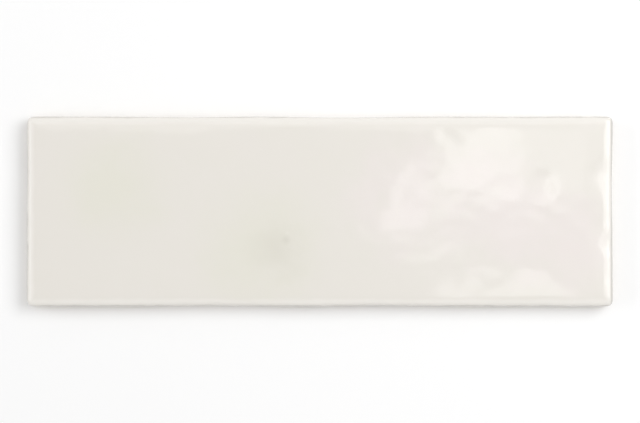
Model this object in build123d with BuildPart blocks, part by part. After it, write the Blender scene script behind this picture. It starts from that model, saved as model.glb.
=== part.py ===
from build123d import *
import os
from math import ceil, cos, pi, radians, sin

# A glazed ceramic wall tile with a hand-pressed look. It lies on its keyed back, glazed face up:
# X runs along the tile, Y across it, and Z = 0 is the plane of the back.
# All sizes are in millimetres and all angles in degrees.

# Overall size
LENGTH = 200.0
WIDTH = 65.0
THICKNESS = 8.3  # from the back to the highest crest of the glaze

# Rounded arris, where the face turns down into the sides
ARRIS_RADIUS = 2.0
FACE_CORNER = 0.4  # rounding of the face's own corners, inside the arris
CORNER_RADIUS = FACE_CORNER + ARRIS_RADIUS  # of the outline seen from above

# Drifting edges seen from above
EDGE_WANDER = 0.4  # how far an edge drifts inside its nominal line
WANDER_LENGTH = 62.0  # from one drift to the next along an edge
WANDER_TURN = 110.0  # phase step from one edge to the next, so that no two edges match

# Glazed face: two slanting swells, and a cushion that falls away towards the rim
SWELL_LENGTH = 94.0
SWELL_HEIGHT = 0.14
SWELL_SLANT = 16.0
DIMPLE_LENGTH = 44.0
DIMPLE_HEIGHT = 0.06
DIMPLE_SLANT = -58.0
CUSHION_FALL = 0.35  # drop at the rim
CUSHION_REACH = 9.0  # width of the falling band
CUSHION_WAVE = 4 * CUSHION_REACH  # length of the wave that bends as much as the falling band

# Back: shallow keys for the adhesive, between ribs that carry the tile
FOOT_CHAMFER = 0.6
KEY_COLUMNS = 12
KEY_ROWS = 4
KEY_BORDER = 4.5  # plain band round the keys
KEY_RIB = 3.2  # rib between two keys
KEY_DEPTH = 0.9
KEY_DRAFT = 35.0  # lean of a key's walls

# Fineness of the curves drawn through points
POINTS_PER_WAVE = 8
FACE_TOLERANCE = 0.002
OVERHANG = 6.0  # how far the face surface and the block are drawn past each other before trimming


def edge_drift(along, side, turn):
    """Distance that an edge drifts inwards, at a distance along a side of that length."""
    ends_held = sin(pi * along / side) ** 2
    drift = cos(pi * along / WANDER_LENGTH + radians(turn / 2)) ** 2
    return EDGE_WANDER * ends_held * drift


def edge_points(start, end, turn):
    """Points of one drifting edge, from corner to corner, going anticlockwise round the tile."""
    side = (end - start).length
    direction = (end - start).normalized()
    inwards = direction.rotate(Axis.Z, 90)
    count = ceil(POINTS_PER_WAVE * side / WANDER_LENGTH)
    distances = [side * step / count for step in range(count + 1)]
    return [start + direction * d + inwards * edge_drift(d, side, turn) for d in distances]


def swell(x, y, crest_to_crest, slant):
    """A slanting wave between -1 and 1."""
    across_crests = x * cos(radians(slant)) + y * sin(radians(slant))
    return cos(2 * pi * across_crests / crest_to_crest)


def cushion(to_rim):
    """Share of the cushion's fall at a distance from the rim."""
    return max(0.0, 1 - to_rim / CUSHION_REACH) ** 2


def face_height(x, y):
    """Height of the glazed face over the back."""
    waves = SWELL_HEIGHT * (swell(x, y, SWELL_LENGTH, SWELL_SLANT) - 1)
    waves += DIMPLE_HEIGHT * (swell(x, y, DIMPLE_LENGTH, DIMPLE_SLANT) - 1)
    fall = cushion(LENGTH / 2 - abs(x)) + cushion(WIDTH / 2 - abs(y))
    return THICKNESS + waves - CUSHION_FALL * fall


def spread(size):
    """Evenly spaced places across a size and its overhang, close enough for waves and cushion."""
    reach = size / 2 + OVERHANG
    spacing = min(DIMPLE_LENGTH, SWELL_LENGTH, CUSHION_WAVE) / POINTS_PER_WAVE
    count = ceil(2 * reach / spacing)
    return [reach * (2 * step / count - 1) for step in range(count + 1)]


# The rippled surface that the face is trimmed to
rippled_face = Face.make_surface_from_array_of_points(
    [[(x, y, face_height(x, y)) for y in spread(WIDTH)] for x in spread(LENGTH)],
    tol=FACE_TOLERANCE,
    min_deg=3,
)

with BuildPart() as tile:
    # Pressed block with drifting edges and rounded corners
    right, far = LENGTH / 2, WIDTH / 2
    inner_right, inner_far = right - CORNER_RADIUS, far - CORNER_RADIUS
    sides = [
        (Vector(-inner_right, -far), Vector(inner_right, -far)),
        (Vector(right, -inner_far), Vector(right, inner_far)),
        (Vector(inner_right, far), Vector(-inner_right, far)),
        (Vector(-right, inner_far), Vector(-right, -inner_far)),
    ]
    with BuildSketch():
        with BuildLine():
            for index, (start, end) in enumerate(sides):
                direction = (end - start).normalized()
                Spline(edge_points(start, end, index * WANDER_TURN), tangents=(direction, direction))
                corner_centre = end + direction.rotate(Axis.Z, 90) * CORNER_RADIUS
                CenterArc(corner_centre, CORNER_RADIUS, 90 * index - 90, 90)
        make_face()
    extrude(amount=THICKNESS + OVERHANG)

    # Rippled glazed face and its rounded arris
    split(bisect_by=rippled_face, keep=Keep.BOTTOM)
    fillet(tile.faces().sort_by(Axis.Z)[-1].edges(), ARRIS_RADIUS)

    # Bevelled foot, and the keys pressed into the back
    chamfer(tile.faces().sort_by(Axis.Z)[0].edges(), FOOT_CHAMFER)
    key_length = (LENGTH - 2 * KEY_BORDER - (KEY_COLUMNS - 1) * KEY_RIB) / KEY_COLUMNS
    key_width = (WIDTH - 2 * KEY_BORDER - (KEY_ROWS - 1) * KEY_RIB) / KEY_ROWS
    with BuildSketch():
        with GridLocations(key_length + KEY_RIB, key_width + KEY_RIB, KEY_COLUMNS, KEY_ROWS):
            Rectangle(key_length, key_width)
    extrude(amount=KEY_DEPTH, taper=KEY_DRAFT, mode=Mode.SUBTRACT)

tile.part.label = "tile"

os.makedirs("parts", exist_ok=True)
export_step(tile.part, "parts/tile.step")
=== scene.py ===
from math import cos, pi, radians, sin, sqrt, tan

import bmesh
import bpy
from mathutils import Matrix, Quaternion, Vector


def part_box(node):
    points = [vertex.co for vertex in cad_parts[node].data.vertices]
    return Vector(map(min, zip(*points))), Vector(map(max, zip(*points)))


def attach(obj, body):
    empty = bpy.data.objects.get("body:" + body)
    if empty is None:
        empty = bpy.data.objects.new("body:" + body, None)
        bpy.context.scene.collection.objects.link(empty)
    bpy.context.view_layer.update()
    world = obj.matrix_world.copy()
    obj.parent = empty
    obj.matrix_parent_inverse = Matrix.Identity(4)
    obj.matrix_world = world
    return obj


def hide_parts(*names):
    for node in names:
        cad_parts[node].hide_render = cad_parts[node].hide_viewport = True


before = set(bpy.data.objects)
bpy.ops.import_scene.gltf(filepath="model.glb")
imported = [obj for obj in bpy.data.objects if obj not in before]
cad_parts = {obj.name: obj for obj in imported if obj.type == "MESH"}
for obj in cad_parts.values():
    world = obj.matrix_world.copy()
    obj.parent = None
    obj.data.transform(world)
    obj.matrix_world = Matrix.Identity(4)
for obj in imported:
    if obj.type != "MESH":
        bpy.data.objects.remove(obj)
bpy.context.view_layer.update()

# A glazed wall tile with a hand-pressed look. It lies on its keyed back, glazed face up:
# X runs along the tile, Y across it, and Z = 0 is the plane of the back. Sizes are in metres.
MM = 0.001

# Overall size, from the frame
LOW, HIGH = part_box("tile")
LENGTH, WIDTH, THICKNESS = HIGH - LOW

# Cage that the smooth skin is drawn from
CAGE_COLUMNS = 33
CAGE_ROWS = 11
CORNER_HOLD = 3.8 * MM  # from an edge to the line that holds its roundness
SHOULDER_DROP = 3.4 * MM  # from the rim down to the line that holds the arris
SMOOTHING = 3  # times that the cage is halved
SOFT_ANGLE = radians(35)  # edges that turn by less are shaded smooth

# Glazed face: the solid's two slanting swells and its cushion, and finer ripples in between
SWELLS = [(94 * MM, 0.14 * MM, radians(16)), (44 * MM, 0.06 * MM, radians(-58))]
CUSHION_FALL = 0.35 * MM
CUSHION_REACH = 9 * MM
RIPPLES = [(34 * MM, 26 * MM, 0.3 * MM), (11 * MM, 9 * MM, 0.13 * MM)]
RIPPLE_START = Vector((-0.26, 0.15, -0.06))  # where the ripple pattern starts
RIPPLE_LEVEL = 0.62  # share of a ripple that is pressed below the face, the rest stands over it
BAND_TURN = 10.0  # radians that a band texture turns for each unit of x + y + z

# Shallow hollows pressed into the face: place, reach and depth
PRESS_MARKS = [
    (98.5 * MM, 11.5 * MM, 9 * MM, 0.34 * MM),
    (99 * MM, -11 * MM, 5.5 * MM, 0.24 * MM),
    (89 * MM, -17 * MM, 12 * MM, 0.12 * MM),
    (75.8 * MM, 8.4 * MM, 6.4 * MM, 0.15 * MM),
]
PINHOLES = [
    (-11.6 * MM, -9.7 * MM, 1.5 * MM, 0.05 * MM),
    (-71 * MM, 21 * MM, 1.2 * MM, 0.04 * MM),
    (-45 * MM, -21 * MM, 1.2 * MM, 0.03 * MM),
]
TOUCH = 0.6 * MM  # radius of the spot that a hollow is pressed from

# Sides: uneven from pressing, glazed down to an uneven line over a bare foot
SIDE_WOBBLE = 0.22 * MM
SIDE_WOBBLE_LENGTH = 14 * MM
GLAZE_LINE = 2.4 * MM
GLAZE_LIP = 0.16 * MM  # thickness of the glaze where it stops
GLAZE_SAG = 1.1 * MM  # how far the glaze line rises and falls
GLAZE_SAG_LENGTH = 9 * MM
GLAZE_LIP_CREASE = 0.7
FOOT_CHAMFER = 0.6 * MM
FOOT_CREASE = 0.6
BARE_CLAY = 1  # place of the bare clay in the piece's list of finishes, after the glaze

# Back: keys for the adhesive, as in the solid
KEY_COLUMNS = 12
KEY_ROWS = 4
KEY_BORDER = 4.5 * MM
KEY_RIB = 3.2 * MM
KEY_DEPTH = 0.9 * MM
KEY_DRAFT = radians(35)
KEY_SOFTNESS = 0.25 * MM  # rounding of a key's edges
KEY_SOFTNESS_STEPS = 2
KEY_LENGTH = (LENGTH - 2 * KEY_BORDER - (KEY_COLUMNS - 1) * KEY_RIB) / KEY_COLUMNS
KEY_WIDTH = (WIDTH - 2 * KEY_BORDER - (KEY_ROWS - 1) * KEY_RIB) / KEY_ROWS

# How closely a face has to match when it is picked by its look
FLAT = 0.99  # least share of the normal that points straight down
LEAN_TOLERANCE = 0.1
AREA_TOLERANCE = 0.01


def pick(kind, wanted):
    """Selects the vertices, edges or faces of the piece in edit mode that pass a test."""
    bpy.ops.mesh.select_mode(type=kind)
    bpy.ops.mesh.select_all(action="DESELECT")
    shape = bmesh.from_edit_mesh(bpy.context.object.data)
    elements = {"VERT": shape.verts, "EDGE": shape.edges, "FACE": shape.faces}[kind]
    for element in elements:
        if wanted(element):
            element.select_set(True)
    shape.select_flush_mode()
    bmesh.update_edit_mesh(bpy.context.object.data)


def mark(name):
    """Puts the selected vertices in a group of their own."""
    bpy.ops.object.vertex_group_assign_new()
    bpy.context.object.vertex_groups.active.name = name


def finish_with(piece, kind, **settings):
    """Adds a modifier with these settings and applies it."""
    bpy.context.view_layer.objects.active = piece
    modifier = piece.modifiers.new(kind.lower(), kind)
    for name, value in settings.items():
        setattr(modifier, name, value)
    bpy.ops.object.modifier_apply(modifier=modifier.name)


def press_relief(piece, texture, place, turn, scale, mid_level=1, **settings):
    """Presses a texture into the piece, laid out by an empty that is taken away again."""
    bpy.ops.object.empty_add(location=place)
    guide = bpy.context.object
    guide.rotation_mode = "QUATERNION"
    guide.rotation_quaternion = turn
    guide.scale = scale
    bpy.context.view_layer.update()
    finish_with(
        piece,
        "DISPLACE",
        texture=texture,
        texture_coords="OBJECT",
        texture_coords_object=guide,
        mid_level=mid_level,
        **settings,
    )
    bpy.data.objects.remove(guide)


def lay_cage():
    """The face as a coarse grid, with a line close to each edge to hold its roundness."""
    bpy.ops.object.select_all(action="DESELECT")
    bpy.ops.mesh.primitive_grid_add(
        x_subdivisions=CAGE_COLUMNS,
        y_subdivisions=CAGE_ROWS,
        size=1,
        location=(0, 0, THICKNESS / 2),
    )
    piece = bpy.context.object
    piece.name = "glazed_tile"
    piece.scale = (LENGTH, WIDTH, 1)
    bpy.ops.object.transform_apply(location=True, rotation=True, scale=True)

    bpy.ops.object.mode_set(mode="EDIT")
    hold_x = LENGTH / 2 - CORNER_HOLD
    hold_y = WIDTH / 2 - CORNER_HOLD
    for place, across in (
        ((hold_x, 0, 0), (1, 0, 0)),
        ((-hold_x, 0, 0), (1, 0, 0)),
        ((0, hold_y, 0), (0, 1, 0)),
        ((0, -hold_y, 0), (0, 1, 0)),
    ):
        bpy.ops.mesh.select_all(action="SELECT")
        bpy.ops.mesh.bisect(plane_co=place, plane_no=across)
    return piece


def follow_walls(piece):
    """Draws the rim in to the solid's drifting walls, apart from the corners, and lifts the face."""
    pick("VERT", lambda vertex: vertex.is_boundary and len(vertex.link_edges) > 2)
    mark("rim")
    bpy.ops.object.mode_set(mode="OBJECT")
    finish_with(
        piece,
        "SHRINKWRAP",
        target=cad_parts["tile"],
        wrap_method="NEAREST_SURFACEPOINT",
        vertex_group="rim",
    )
    bpy.ops.object.mode_set(mode="EDIT")
    bpy.ops.mesh.select_all(action="SELECT")
    bpy.ops.transform.translate(value=(0, 0, THICKNESS / 2))


def drop_cushion():
    """Lets the face fall away towards its rim."""
    pick("EDGE", lambda edge: edge.is_boundary)
    bpy.ops.transform.translate(
        value=(0, 0, -CUSHION_FALL),
        use_proportional_edit=True,
        proportional_edit_falloff="SHARP",
        proportional_size=CUSHION_REACH,
    )


def draw_down(drop, inwards=0):
    """Extrudes the selected open rim downwards and draws it in."""
    bpy.ops.mesh.extrude_edges_move(TRANSFORM_OT_translate={"value": (0, 0, -drop)})
    bpy.ops.transform.resize(
        value=(1 - 2 * inwards / LENGTH, 1 - 2 * inwards / WIDTH, 1),
        center_override=(0, 0, 0),
    )


def is_wall(place):
    """True on the walls of the tile, up to its rim."""
    wall = CORNER_HOLD / 2
    return abs(place.x) > LENGTH / 2 - wall or abs(place.y) > WIDTH / 2 - wall


def draw_sides(piece):
    """The arris, the glazed side, the glaze's lower lip and the bare foot, ring by ring."""
    rim_height = THICKNESS - CUSHION_FALL
    shoulder = rim_height - SHOULDER_DROP
    lip = GLAZE_LINE - GLAZE_LIP
    pick("EDGE", lambda edge: edge.is_boundary)
    draw_down(SHOULDER_DROP)
    draw_down(shoulder - GLAZE_LINE)
    bpy.ops.transform.edge_crease(value=GLAZE_LIP_CREASE)
    draw_down(GLAZE_LIP, inwards=GLAZE_LIP)
    bpy.ops.transform.edge_crease(value=GLAZE_LIP_CREASE)
    draw_down(lip - FOOT_CHAMFER)
    bpy.ops.transform.edge_crease(value=FOOT_CREASE)
    draw_down(FOOT_CHAMFER, inwards=FOOT_CHAMFER)

    bpy.ops.mesh.select_all(action="SELECT")
    bpy.ops.object.vertex_group_remove_from(use_all_groups=True)
    pick("VERT", lambda vertex: vertex.co.z > shoulder - GLAZE_LIP)
    mark("upper")
    pick("VERT", lambda vertex: FOOT_CHAMFER / 2 < vertex.co.z and is_wall(vertex.co))
    mark("sides")
    pick("VERT", lambda vertex: lip - GLAZE_LIP / 2 < vertex.co.z < GLAZE_LINE + GLAZE_LIP / 2)
    mark("glaze_line")

    pick("FACE", lambda face: face.calc_center_median().z < GLAZE_LINE - GLAZE_LIP / 4)
    piece.active_material_index = BARE_CLAY
    bpy.ops.object.material_slot_assign()
    bpy.ops.object.mode_set(mode="OBJECT")


def press_face(piece):
    """The swells of the solid, then the finer ripples of a hand-pressed face."""
    for crest_to_crest, height, slant in SWELLS:
        across = Vector((cos(slant), sin(slant), 0))
        bands = bpy.data.textures.new("swell", "WOOD")
        bands.wood_type = "BANDS"
        bands.noise_basis_2 = "SIN"
        press_relief(
            piece,
            bands,
            place=across * -crest_to_crest / 4,
            turn=Vector((1, 1, 1)).rotation_difference(across),
            scale=[BAND_TURN * sqrt(3) * crest_to_crest / (2 * pi)] * 3,
            direction="Z",
            strength=2 * height,
            vertex_group="upper",
        )

    for length, width, height in RIPPLES:
        ripple = bpy.data.textures.new("ripple", "CLOUDS")
        ripple.noise_scale = 1
        ripple.noise_depth = 1
        press_relief(
            piece,
            ripple,
            place=RIPPLE_START,
            turn=Quaternion(),
            scale=(length, width, width),
            mid_level=RIPPLE_LEVEL,
            direction="Z",
            strength=height,
            vertex_group="upper",
        )


def press_hollows():
    """Shallow hollows and a few pinholes, pressed into the face alone."""
    face_foot = THICKNESS - CUSHION_FALL - SHOULDER_DROP
    bpy.ops.object.mode_set(mode="EDIT")
    pick("FACE", lambda face: face.calc_center_median().z < face_foot)
    bpy.ops.mesh.hide(unselected=False)
    for x, y, reach, depth in PRESS_MARKS + PINHOLES:
        spot = Vector((x, y))
        pick("VERT", lambda vertex: not vertex.hide and (vertex.co.xy - spot).length < TOUCH)
        bpy.ops.transform.translate(
            value=(0, 0, -depth),
            use_proportional_edit=True,
            proportional_edit_falloff="SMOOTH",
            proportional_size=reach,
        )
    bpy.ops.mesh.reveal(select=False)
    bpy.ops.object.mode_set(mode="OBJECT")


def press_sides(piece):
    """Unevenness of the pressed sides, and the rise and fall of the glaze line."""
    for name, length, strength, direction, group in (
        ("side wobble", SIDE_WOBBLE_LENGTH, SIDE_WOBBLE, "NORMAL", "sides"),
        ("glaze sag", GLAZE_SAG_LENGTH, GLAZE_SAG, "Z", "glaze_line"),
    ):
        uneven = bpy.data.textures.new(name, "CLOUDS")
        uneven.noise_scale = 1
        press_relief(
            piece,
            uneven,
            place=(0, 0, 0),
            turn=Quaternion(),
            scale=[length] * 3,
            direction=direction,
            strength=strength,
            vertex_group=group,
        )


def is_back(face):
    """True on the flat of the back."""
    return -face.normal.z > FLAT and face.calc_center_median().z < FOOT_CHAMFER / 2


def is_key(face):
    """True on a part of the back that is as large as a key."""
    return is_back(face) and abs(face.calc_area() / (KEY_LENGTH * KEY_WIDTH) - 1) < AREA_TOLERANCE


def is_key_edge(edge):
    """True on an edge between a key's drafted wall and the flat of its floor or of a rib."""
    wall, flat = sorted(-face.normal.z for face in edge.link_faces)
    on_foot = any(is_wall(vertex.co) for vertex in edge.verts)
    return flat > FLAT and abs(wall - sin(KEY_DRAFT)) < LEAN_TOLERANCE and not on_foot


def close_back(piece):
    """Fills the back, scores the ribs into it and presses the keys."""
    bpy.ops.object.mode_set(mode="EDIT")
    pick("EDGE", lambda edge: edge.is_boundary)
    bpy.ops.mesh.edge_face_add()
    bpy.ops.mesh.select_all(action="SELECT")
    bpy.ops.mesh.normals_make_consistent(inside=False)

    for count, size, axis in (
        (KEY_COLUMNS, KEY_LENGTH, Vector((1, 0, 0))),
        (KEY_ROWS, KEY_WIDTH, Vector((0, 1, 0))),
    ):
        for key in range(count):
            middle = (key - (count - 1) / 2) * (size + KEY_RIB)
            for edge in (middle - size / 2, middle + size / 2):
                pick("FACE", is_back)
                bpy.ops.mesh.bisect(plane_co=axis * edge, plane_no=axis)

    pick("FACE", is_key)
    bpy.ops.mesh.inset(
        thickness=KEY_DEPTH * tan(KEY_DRAFT),
        depth=-KEY_DEPTH,
        use_individual=True,
    )
    pick("EDGE", is_key_edge)
    bpy.ops.mesh.bevel(offset=KEY_SOFTNESS, segments=KEY_SOFTNESS_STEPS, affect="EDGES")
    pick("FACE", lambda face: face.calc_center_median().z < GLAZE_LINE / 2)
    piece.active_material_index = BARE_CLAY
    bpy.ops.object.material_slot_assign()
    bpy.ops.object.mode_set(mode="OBJECT")


class Paint:
    """A socket of a material's nodes. Arithmetic on it adds Math nodes."""

    def __init__(self, tree, socket=None):
        self.tree = tree
        self.socket = socket

    def node(self, kind, sockets, output=0, **settings):
        """Adds a node: its settings, then its sockets' values or links. Returns one of its outputs."""
        made = self.tree.nodes.new(kind)
        for name, value in settings.items():
            setattr(made, name, value)
        for name, value in sockets.items():
            if isinstance(value, Paint):
                self.tree.links.new(value.socket, made.inputs[name])
            else:
                made.inputs[name].default_value = value
        return Paint(self.tree, made.outputs[output])

    def math(self, operation, first, second):
        """A Math node on two values."""
        return self.node("ShaderNodeMath", {0: first, 1: second}, operation=operation)

    def __add__(self, other):
        return self.math("ADD", self, other)

    __radd__ = __add__

    def __sub__(self, other):
        return self.math("SUBTRACT", self, other)

    def __rsub__(self, other):
        return self.math("SUBTRACT", other, self)

    def __mul__(self, other):
        return self.math("MULTIPLY", self, other)

    __rmul__ = __mul__

    def __abs__(self):
        return self.node("ShaderNodeMath", {0: self}, operation="ABSOLUTE")

    def rise(self, low, high):
        """0 below one value and 1 above another, with a soft step between them."""
        sockets = {"Value": self, "From Min": low, "From Max": high}
        return self.node("ShaderNodeMapRange", sockets, interpolation_type="SMOOTHSTEP")

    def mix(self, first, second):
        """A colour between two, with this as the share of the second."""
        return self.node("ShaderNodeMix", {0: self, 6: first, 7: second}, output=2, data_type="RGBA")

    def place(self):
        """The place on the piece, in metres."""
        return self.node("ShaderNodeTexCoord", {}, output="Object")

    def along(self, axis):
        """The place on the piece along one axis."""
        return self.node("ShaderNodeSeparateXYZ", {0: self.place()}, output=axis)

    def distance(self, spot):
        """The distance from a spot on the piece."""
        sockets = {0: self.place(), 1: spot}
        return self.node("ShaderNodeVectorMath", sockets, output="Value", operation="DISTANCE")

    def noise(self, size, detail=2.0, roughness=0.5):
        """Soft noise over the piece with clouds of about this size, from 0 to 1."""
        sockets = {"Vector": self.place(), "Scale": 1 / size, "Detail": detail, "Roughness": roughness}
        return self.node("ShaderNodeTexNoise", sockets, output="Fac")

    def to_rim(self):
        """The distance from the nearest edge of the tile, seen from above."""
        from_end = LENGTH / 2 - abs(self.along("X"))
        from_side = WIDTH / 2 - abs(self.along("Y"))
        return self.math("MINIMUM", from_end, from_side)

    def seen(self):
        """1 for rays that show a surface, straight or reflected, and 0 for those that light it."""
        rays = ("Is Camera Ray", "Is Glossy Ray", "Is Transmission Ray")
        camera, glossy, through = (self.node("ShaderNodeLightPath", {}, output=ray) for ray in rays)
        return self.math("MAXIMUM", self.math("MAXIMUM", camera, glossy), through)

    def bump(self, height, distance):
        """A bent normal for a height from 0 to 1."""
        return self.node("ShaderNodeBump", {"Height": height, "Distance": distance, "Strength": 1})


def new_finish(name, colour, roughness, normal):
    """A material from a function for each of its varying sockets."""
    material = bpy.data.materials.new(name)
    material.use_nodes = True
    shader = material.node_tree.nodes["Principled BSDF"]
    paint = Paint(material.node_tree)
    for socket, make in (("Base Color", colour), ("Roughness", roughness), ("Normal", normal)):
        material.node_tree.links.new(make(paint).socket, shader.inputs[socket])
    return material


# Glaze: glossy off-white with faint greenish clouds to the left and rosy ones to the right.
# It breaks lighter over the arris, partly as a painted highlight, and has a line of painted shade
# at the rim and down the sides, greyer painted shade along the arris of the right-hand end. One
# pinhole has a speck of painted shade, a smudge and a faint pale fleck of painted highlight.
GLAZE_CREAM = (0.8, 0.765, 0.718, 1)
GLAZE_GREENISH = (0.775, 0.757, 0.672, 1)
GLAZE_ROSY = (0.82, 0.765, 0.735, 1)
# Lighter glaze over the arris, partly a painted highlight; also the colour of the painted highlight at
# one pinhole
GLAZE_BREAK_AND_HIGHLIGHT = (0.9, 0.87, 0.825, 1)
# Painted shade: a darker line at the rim and down the sides
GLAZE_RIM_SHADE = (0.67, 0.646, 0.6, 1)
# Painted shade: a greyer line along the arris of the right-hand end
GLAZE_END_SHADE = (0.6, 0.583, 0.547, 1)
# Painted shade: a dark speck at one pinhole
GLAZE_SPECK_SHADE = (0.5, 0.47, 0.4, 1)
GLAZE_SMUDGE = (0.7, 0.675, 0.6, 1)

# Clouds and marks: place and reach
GREENISH_CLOUDS = [(-70 * MM, 8 * MM, 26 * MM), (-20 * MM, -12 * MM, 30 * MM)]
ROSY_CLOUDS = [
    (30 * MM, 3 * MM, 30 * MM),
    (64 * MM, -2 * MM, 28 * MM),
    (84 * MM, -12 * MM, 24 * MM),
]
SMUDGE = (-15 * MM, -13.5 * MM, 13 * MM)
# Painted shade at the first pinhole
SPECK_SHADE = (PINHOLES[0][0], PINHOLES[0][1], 2.2 * MM)
# Painted highlight: a pale fleck near that pinhole
PALE_FLECK_HIGHLIGHT = (-11.1 * MM, -7.2 * MM, 1.1 * MM)
CLOUD_GRAIN = 12 * MM
CLOUD_DETAIL = 3
NOISE_MIDDLE = 0.5  # middle of the noise that makes clouds ragged and lines wander

# How strongly each shows
GROUND_SHARE = 0.4  # of the greenish colour in the ground, at most
SMUDGE_SHARE = 0.6
SPECK_SHADE_SHARE = 0.2
PALE_HIGHLIGHT_SHARE = 0.15
BREAK_AND_HIGHLIGHT_SHARE = 0.6

# Lines along the rim: a lighter band that is partly a painted highlight, and lines of painted shade
BREAK_AND_HIGHLIGHT_WIDTH = 3.4 * MM
RIM_SHADE_WIDTH = 0.75 * MM
END_SHADE_WIDTH = 1.4 * MM  # of the greyer line of painted shade along the right-hand end
END_SHADE_FOOT = 1.5 * MM  # heights between which that line comes in
END_SHADE_TOP = 6.5 * MM
RIM_WANDER = 1 * MM  # how far the lines wander
RIM_WANDER_LENGTH = 7 * MM

# Gloss, and the fine unevenness that firing leaves
GLAZE_ROUGHNESS = 0.068
GLAZE_DULLING = 0.05  # how much rougher its duller clouds are
DULL_CLOUD = 20 * MM
PEEL_SIZE = 1.2 * MM
PEEL_DEPTH = 0.004 * MM


def cloud(paint, x, y, reach):
    """A soft ragged cloud on the face, from 1 at its place to 0 at its reach."""
    ragged = (paint.noise(CLOUD_GRAIN, detail=CLOUD_DETAIL) - NOISE_MIDDLE) * reach
    to_place = paint.distance((x, y, THICKNESS)) + ragged
    return 1 - to_place.rise(0, reach)


def dot(paint, x, y, reach):
    """A soft round dot on the face, from 1 at its place to 0 at its reach."""
    return 1 - paint.distance((x, y, THICKNESS)).rise(0, reach)


def glaze_colour(paint):
    """The ground with its clouds, then the marks at the pinhole, painted shade and a painted highlight
    among them, then the lines along the rim: a partly painted highlight and painted shade.
    """
    ground = paint.noise(CLOUD_GRAIN, detail=CLOUD_DETAIL) * GROUND_SHARE
    colour = ground.mix(GLAZE_CREAM, GLAZE_GREENISH)
    for spot in GREENISH_CLOUDS:
        colour = cloud(paint, *spot).mix(colour, GLAZE_GREENISH)
    for spot in ROSY_CLOUDS:
        colour = cloud(paint, *spot).mix(colour, GLAZE_ROSY)

    colour = (cloud(paint, *SMUDGE) * SMUDGE_SHARE).mix(colour, GLAZE_SMUDGE)
    # A dark speck of painted shade at the pinhole
    colour = (dot(paint, *SPECK_SHADE) * SPECK_SHADE_SHARE).mix(colour, GLAZE_SPECK_SHADE)
    # A pale fleck of painted highlight beside the pinhole
    colour = (dot(paint, *PALE_FLECK_HIGHLIGHT) * PALE_HIGHLIGHT_SHARE).mix(colour, GLAZE_BREAK_AND_HIGHLIGHT)

    to_rim = paint.to_rim() + (paint.noise(RIM_WANDER_LENGTH) - NOISE_MIDDLE) * RIM_WANDER
    # A lighter band over the arris, partly a painted highlight
    arris_break_and_highlight = 1 - to_rim.rise(BREAK_AND_HIGHLIGHT_WIDTH / 2, BREAK_AND_HIGHLIGHT_WIDTH)
    colour = (arris_break_and_highlight * BREAK_AND_HIGHLIGHT_SHARE).mix(colour, GLAZE_BREAK_AND_HIGHLIGHT)
    # A line of painted shade at the rim and down the sides
    colour = (1 - to_rim.rise(RIM_SHADE_WIDTH / 2, RIM_SHADE_WIDTH)).mix(colour, GLAZE_RIM_SHADE)
    # A greyer line of painted shade along the upper arris of the right-hand end
    end_shade_line = 1 - (LENGTH / 2 - paint.along("X")).rise(END_SHADE_WIDTH / 2, END_SHADE_WIDTH)
    end_shade_height = paint.along("Z").rise(END_SHADE_FOOT, END_SHADE_TOP)
    return (end_shade_line * end_shade_height).mix(colour, GLAZE_END_SHADE)


def glaze_roughness(paint):
    """Glossy, with slightly duller clouds."""
    return paint.noise(DULL_CLOUD) * GLAZE_DULLING + GLAZE_ROUGHNESS


def glaze_normal(paint):
    """The faint peel of a fired glaze."""
    return paint.bump(paint.noise(PEEL_SIZE), PEEL_DEPTH)


# Bare fired clay of the back and the foot: pale, dry and grainy
CLAY_PALE = (0.72, 0.65, 0.55, 1)
CLAY_DUSKY = (0.6, 0.52, 0.42, 1)
CLAY_MOTTLE = 6 * MM  # size of its dusky patches
MOTTLE_DETAIL = 6
MOTTLE_LOW = 0.3  # noise at which they start
MOTTLE_HIGH = 0.75  # and at which they are full
CLAY_ROUGHNESS = 0.75
CLAY_DRYING = 0.2  # how much rougher its drier patches are
DRY_PATCH = 2 * MM
CLAY_GRAIN = 0.5 * MM
GRAIN_DEPTH = 0.08 * MM
GRAIN_DETAIL = 4
COARSENESS = 0.7  # how strongly the finest clay shows in the patches and the grain


def clay_colour(paint):
    """Pale clay with dusky patches."""
    mottle = paint.noise(CLAY_MOTTLE, detail=MOTTLE_DETAIL, roughness=COARSENESS)
    return mottle.rise(MOTTLE_LOW, MOTTLE_HIGH).mix(CLAY_PALE, CLAY_DUSKY)


def clay_roughness(paint):
    """Dull, with drier patches."""
    return paint.noise(DRY_PATCH) * CLAY_DRYING + CLAY_ROUGHNESS


def clay_normal(paint):
    """Grain of the pressed clay."""
    grain = paint.noise(CLAY_GRAIN, detail=GRAIN_DETAIL, roughness=COARSENESS)
    return paint.bump(grain, GRAIN_DEPTH)


def make_tile():
    """The dressed tile: a smooth skin drawn from a cage, pressed, closed at the back and painted."""
    piece = lay_cage()
    piece.data.materials.append(new_finish("glaze", glaze_colour, glaze_roughness, glaze_normal))
    piece.data.materials.append(new_finish("bare_clay", clay_colour, clay_roughness, clay_normal))
    follow_walls(piece)
    drop_cushion()
    draw_sides(piece)
    finish_with(piece, "SUBSURF", levels=SMOOTHING, render_levels=SMOOTHING)
    press_face(piece)
    press_hollows()
    press_sides(piece)
    close_back(piece)
    bpy.ops.object.select_all(action="DESELECT")
    piece.select_set(True)
    bpy.context.view_layer.objects.active = piece
    bpy.ops.object.shade_smooth_by_angle(angle=SOFT_ANGLE)
    return piece


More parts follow.
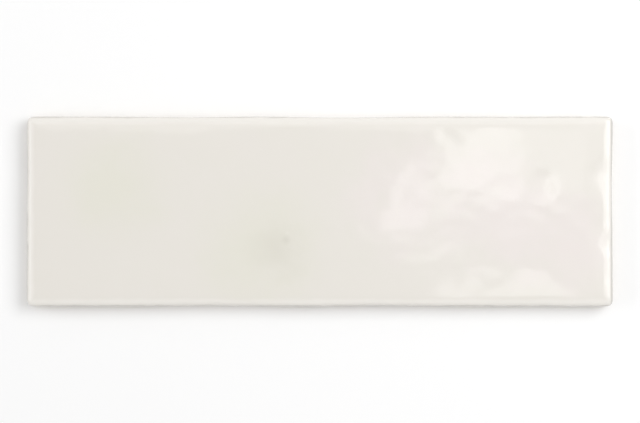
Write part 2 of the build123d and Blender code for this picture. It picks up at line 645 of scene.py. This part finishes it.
# Studio: an even white room, a white floor and soft boxes
FLOOR_SIZE = 8.0
FLOOR_GAP = 0.05 * MM
FLOOR_NEAR = 0.16  # from the tile's middle to where the floor starts to fade to white
FLOOR_FAR = 0.45
FLOOR_WHITE = (0.98, 0.98, 0.98, 1)
FLOOR_ROUGHNESS = 0.9
ROOM_WHITE = (1, 1, 1, 1)
AMBIENT = 0.547  # strength of the room's own light on the tile
LENS = 100.0  # focal length, and below it the sensor's width, in millimetres
SENSOR = 36.0
FRAME_SHARE = 0.92  # share of the picture's width that the tile takes up
CEILING = 1.0  # height of the boxes over the tile
BELOW_CEILING = CEILING - 0.01  # boxes that overlap at one height would hide one another
DOWN = (0, 0, -1)
SOFT_BOXES = [
    # place, direction, width, height, radiance
    # Large box at the right, in two parts, for the white line along the right-hand arris
    ((0.85, 0.415, CEILING), DOWN, 0.9, 0.87, 3.8),
    ((0.85, -0.085, CEILING), DOWN, 0.9, 0.13, 2.4),
    # Small boxes that the ripples break up into bright patches over the right-hand end
    ((0.1425, 0.085, CEILING), DOWN, 0.045, 0.15, 3.2),
    ((0.2075, 0.07, CEILING), DOWN, 0.085, 0.14, 1.35),
    ((0.0975, 0.005, CEILING), DOWN, 0.045, 0.05, 2.2),
    ((0.165, -0.135, CEILING), DOWN, 0.07, 0.13, 2.1),
    ((0.325, 0.086, BELOW_CEILING), DOWN, 0.14, 0.148, 0.8),
    ((0.325, -0.059, BELOW_CEILING), DOWN, 0.14, 0.082, 0.8),
    # Weak box at the far side, and a broad one at the left
    ((0, 0.3, CEILING), DOWN, 0.7, 0.3, 0.85),
    ((-1.0, 0.1, 0.6), (1, 0, -0.6), 0.9, 0.5, 2.0),
    # Two weak boxes on stands, so that the gloss shows from the corners too
    ((-0.83, 0.83, 0.55), (0.83, -0.83, -0.55), 0.24, 0.1, 1.1),
    ((0.89, -0.89, 0.34), (-0.89, 0.89, -0.34), 0.24, 0.06, 0.55),
]


def lay_floor():
    """A floor that takes the tile's shadow and fades to the white of the room away from it."""
    bpy.ops.object.select_all(action="DESELECT")
    bpy.ops.mesh.primitive_plane_add(size=FLOOR_SIZE, location=(0, 0, -FLOOR_GAP))
    floor = bpy.context.object
    floor.name = "floor"
    white = bpy.data.materials.new("floor_white")
    white.use_nodes = True
    nodes = white.node_tree.nodes
    shader = nodes["Principled BSDF"]
    shader.inputs["Base Color"].default_value = FLOOR_WHITE
    shader.inputs["Roughness"].default_value = FLOOR_ROUGHNESS
    shader.inputs["Specular IOR Level"].default_value = 0
    paint = Paint(white.node_tree)
    room = paint.node("ShaderNodeEmission", {"Strength": 1})
    near = Paint(white.node_tree, shader.outputs[0])
    far = paint.distance((0, 0, 0)).rise(FLOOR_NEAR, FLOOR_FAR) * paint.seen()
    floor_shader = paint.node("ShaderNodeMixShader", {0: far, 1: near, 2: room})
    white.node_tree.links.new(floor_shader.socket, nodes["Material Output"].inputs["Surface"])
    floor.data.materials.append(white)


def hang_lights():
    """The soft boxes, each with the power that gives its radiance at its size."""
    for place, facing, width, height, radiance in SOFT_BOXES:
        bpy.ops.object.light_add(type="AREA", location=place)
        lamp = bpy.context.object
        lamp.rotation_mode = "QUATERNION"
        lamp.rotation_quaternion = Vector(facing).to_track_quat("-Z", "Y")
        lamp.visible_camera = False
        lamp.data.shape = "RECTANGLE"
        lamp.data.size = width
        lamp.data.size_y = height
        lamp.data.energy = radiance * pi * width * height


def light_room():
    """An even room that lights the tile softly and looks white."""
    room = bpy.context.scene.world or bpy.data.worlds.new("room")
    bpy.context.scene.world = room
    room.use_nodes = True
    strength = Paint(room.node_tree).seen() * (1 - AMBIENT) + AMBIENT
    background = room.node_tree.nodes["Background"]
    background.inputs["Color"].default_value = ROOM_WHITE
    room.node_tree.links.new(strength.socket, background.inputs["Strength"])


def set_camera():
    """Straight above the tile, as in the photograph."""
    distance = LENGTH / FRAME_SHARE * LENS / SENSOR
    bpy.ops.object.camera_add(location=(0, 0, THICKNESS + distance), rotation=(0, 0, 0))
    camera = bpy.context.object
    camera.data.lens = LENS
    camera.data.sensor_width = SENSOR
    bpy.context.scene.camera = camera


tile = make_tile()
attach(tile, "root")
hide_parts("tile")

lay_floor()
hang_lights()
light_room()
set_camera()
bpy.context.scene.view_settings.view_transform = "Standard"
